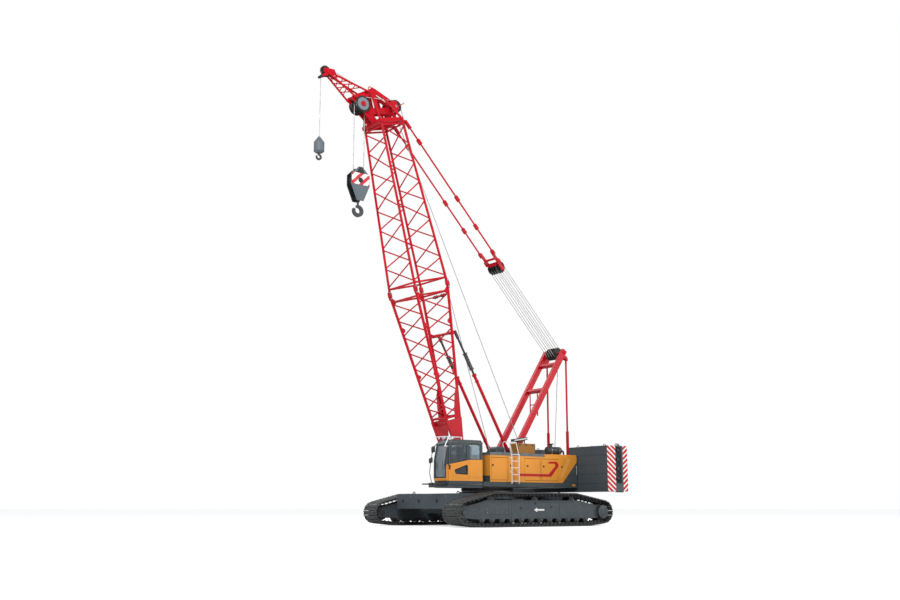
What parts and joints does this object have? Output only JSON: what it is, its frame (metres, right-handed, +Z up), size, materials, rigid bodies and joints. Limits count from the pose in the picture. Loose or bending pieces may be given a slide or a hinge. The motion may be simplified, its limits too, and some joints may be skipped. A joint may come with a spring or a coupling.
{
  "type": "crawler crane",
  "caption": "Crawler crane: tracked base, slewing deck with cab and housings, raised lattice boom with short jib, gantry, stays, winches and two hook lines.",
  "frame": {"origin": "centre of the whole machine's box in X and Y, on the ground", "axes": "+X to the machine's front, where the boom leans; +Y to its left, the cab's side; +Z up"},
  "size_m": [13.3548, 6.55, 17.9993],
  "materials": {
    "slate_paint": "satin",
    "orange_paint": "satin",
    "red_paint": "satin",
    "weight_paint": "satin",
    "grey_paint": "satin",
    "ochre_paint": "satin",
    "white_paint": "satin",
    "block_grey": "satin",
    "drum_paint": "satin",
    "sheave_grey": "satin",
    "roller_steel": "worn",
    "track_steel": "worn",
    "engine_iron": "cast",
    "bare_steel": "greased",
    "dark_steel": "worn",
    "exhaust_steel": "heat stained",
    "hook_steel": "worn",
    "wire_rope": "greased",
    "window_glass": "clear",
    "dark_plastic": "grained",
    "seat_fabric": "woven"
  },
  "bodies": {
    "undercarriage": {"carbody": "slate_paint", "carbody_weights": "weight_paint", "slewing_ring": "bare_steel", "left_track_frame": "slate_paint", "right_track_frame": "slate_paint", "left_track": "track_steel", "right_track": "track_steel", "track_rollers": "roller_steel", "track_idlers": "roller_steel", "drive_sprockets": "roller_steel"},
    "upper": {"deck_frame": "slate_paint", "left_housing": "orange_paint", "right_housing": "orange_paint", "roof_walkways": "grey_paint", "engine_block": "engine_iron", "fuel_tank": "orange_paint", "tool_box": "ochre_paint", "exhaust_muffler": "exhaust_steel", "access_ladder": "white_paint", "counterweight_base": "weight_paint", "counterweight_slabs": "weight_paint", "cab_shell": "slate_paint", "cab_glass": "window_glass", "operator_seat": "dark_plastic", "seat_cushions": "seat_fabric", "control_consoles": "dark_plastic", "gantry_front_legs": "red_paint", "gantry_rear_legs": "red_paint", "gantry_sheaves": "sheave_grey"},
    "sliding_cab_door": {"cab_door": "slate_paint", "cab_door_glass": "window_glass"},
    "boom": {"boom_legs": "red_paint", "boom_foot_section": "red_paint", "boom_couplings": "red_paint", "boom_top_section": "red_paint", "boom_head": "red_paint", "head_sheaves": "sheave_grey", "auxiliary_jib": "red_paint", "auxiliary_sheave": "sheave_grey"},
    "luffing_line": {"luffing_ropes": "wire_rope"},
    "boom_stays": {"bridle": "red_paint", "pendants": "red_paint"},
    "backstop_lower": {"backstop_tubes": "red_paint"},
    "backstop_upper": {"backstop_rods": "dark_steel"},
    "main_rope": {"main_falls": "wire_rope"},
    "main_block": {"main_hook_block": "block_grey"},
    "main_hook_body": {"main_hook": "hook_steel"},
    "auxiliary_rope": {"auxiliary_fall": "wire_rope"},
    "auxiliary_ball": {"auxiliary_weight": "block_grey"},
    "auxiliary_hook_body": {"auxiliary_hook": "hook_steel"},
    "front_hoist_drum_body": {"front_hoist_drum": "drum_paint"},
    "rear_hoist_drum_body": {"rear_hoist_drum": "drum_paint"},
    "boom_hoist_drum_body": {"boom_hoist_drum": "drum_paint"},
    "left_front_door_body": {"left_front_door": "orange_paint"},
    "left_middle_door_body": {"left_middle_door": "orange_paint"},
    "left_rear_door_body": {"left_rear_door": "orange_paint"},
    "right_front_door_body": {"right_front_door": "orange_paint"},
    "right_middle_door_body": {"right_middle_door": "orange_paint"},
    "right_rear_door_body": {"right_rear_door": "orange_paint"}
  },
  "joints": [
    {"name": "slew", "type": "hinge", "parent": "undercarriage", "child": "upper", "pos_m": [-1.797, 0, 1.54], "axis": [0, 0, 1], "continuous": true},
    {"name": "boom_luff", "type": "hinge", "parent": "upper", "child": "boom", "pos_m": [-0.297, 0, 2], "axis": [0, 1, 0], "range_deg": [-5, 45]},
    {"name": "luffing_line_swing", "type": "hinge", "parent": "upper", "child": "luffing_line", "pos_m": [-5.647, 0, 7.42], "axis": [0, 1, 0], "range_deg": [-4.28, 38.52]},
    {"name": "luffing_line_reach", "type": "slide", "parent": "luffing_line", "child": "boom_stays", "axis": [0.6827, 0, 0.7307], "range_m": [-0.62054, 5.58477], "deforming": ["luffing_ropes"]},
    {"name": "backstop_swing", "type": "hinge", "parent": "upper", "child": "backstop_lower", "pos_m": [-2.397, 0, 3.1], "axis": [0, 1, 0], "range_deg": [-4.32, 38.84]},
    {"name": "backstop_reach", "type": "slide", "parent": "backstop_lower", "child": "backstop_upper", "axis": [0.4971, 0, 0.8677], "range_m": [-0.18774, 1.68961]},
    {"name": "main_rope_plumb", "type": "hinge", "parent": "boom", "child": "main_rope", "pos_m": [4.65613, 0, 16.69889], "axis": [0, 1, 0], "range_deg": [-45, 5]},
    {"name": "main_hoist", "type": "slide", "parent": "main_rope", "child": "main_block", "axis": [0, 0, 1], "range_m": [-3.9, 1.1], "deforming": ["main_falls"]},
    {"name": "main_hook_swivel", "type": "hinge", "parent": "main_block", "child": "main_hook_body", "pos_m": [4.65613, 0, 12.66889], "axis": [0, 0, 1], "continuous": true},
    {"name": "auxiliary_rope_plumb", "type": "hinge", "parent": "boom", "child": "auxiliary_rope", "pos_m": [6.2678, 0, 17.76819], "axis": [0, 1, 0], "range_deg": [-45, 5]},
    {"name": "auxiliary_hoist", "type": "slide", "parent": "auxiliary_rope", "child": "auxiliary_ball", "axis": [0, 0, 1], "range_m": [-3.9, 1], "deforming": ["auxiliary_fall"]},
    {"name": "auxiliary_hook_swivel", "type": "hinge", "parent": "auxiliary_ball", "child": "auxiliary_hook_body", "pos_m": [6.4678, 0, 14.32819], "axis": [0, 0, 1], "continuous": true},
    {"name": "cab_door_slide", "type": "slide", "parent": "upper", "child": "sliding_cab_door", "axis": [-1, 0, 0], "range_m": [0, 0.72]},
    {"name": "front_hoist_drum_turn", "type": "hinge", "parent": "upper", "child": "front_hoist_drum_body", "pos_m": [-1.697, 0, 2.25], "axis": [0, 1, 0], "continuous": true},
    {"name": "rear_hoist_drum_turn", "type": "hinge", "parent": "upper", "child": "rear_hoist_drum_body", "pos_m": [-2.947, 0, 2.25], "axis": [0, 1, 0], "continuous": true},
    {"name": "boom_hoist_drum_turn", "type": "hinge", "parent": "upper", "child": "boom_hoist_drum_body", "pos_m": [-4.297, 0, 2.25], "axis": [0, 1, 0], "continuous": true},
    {"name": "left_front_door_hinge", "type": "hinge", "parent": "upper", "child": "left_front_door_body", "pos_m": [-1.707, 1.513, 1.8], "axis": [0, 0, 1], "range_deg": [0, 90]},
    {"name": "left_middle_door_hinge", "type": "hinge", "parent": "upper", "child": "left_middle_door_body", "pos_m": [-3.427, 1.513, 1.8], "axis": [0, 0, 1], "range_deg": [0, 90]},
    {"name": "left_rear_door_hinge", "type": "hinge", "parent": "upper", "child": "left_rear_door_body", "pos_m": [-4.397, 1.513, 1.8], "axis": [0, 0, 1], "range_deg": [0, 90]},
    {"name": "right_front_door_hinge", "type": "hinge", "parent": "upper", "child": "right_front_door_body", "pos_m": [-1.707, -1.513, 1.8], "axis": [0, 0, -1], "range_deg": [0, 90]},
    {"name": "right_middle_door_hinge", "type": "hinge", "parent": "upper", "child": "right_middle_door_body", "pos_m": [-3.427, -1.513, 1.8], "axis": [0, 0, -1], "range_deg": [0, 90]},
    {"name": "right_rear_door_hinge", "type": "hinge", "parent": "upper", "child": "right_rear_door_body", "pos_m": [-4.397, -1.513, 1.8], "axis": [0, 0, -1], "range_deg": [0, 90]}
  ],
  "couplings": [
    {"joint": "luffing_line_swing", "follows": "boom_luff", "ratio": 0.85592},
    {"joint": "luffing_line_reach", "follows": "boom_luff", "m_per_rad": 7.1107},
    {"joint": "backstop_swing", "follows": "boom_luff", "ratio": 0.86319},
    {"joint": "backstop_reach", "follows": "boom_luff", "m_per_rad": 2.1513},
    {"joint": "main_rope_plumb", "follows": "boom_luff", "ratio": -1},
    {"joint": "auxiliary_rope_plumb", "follows": "boom_luff", "ratio": -1}
  ]
}
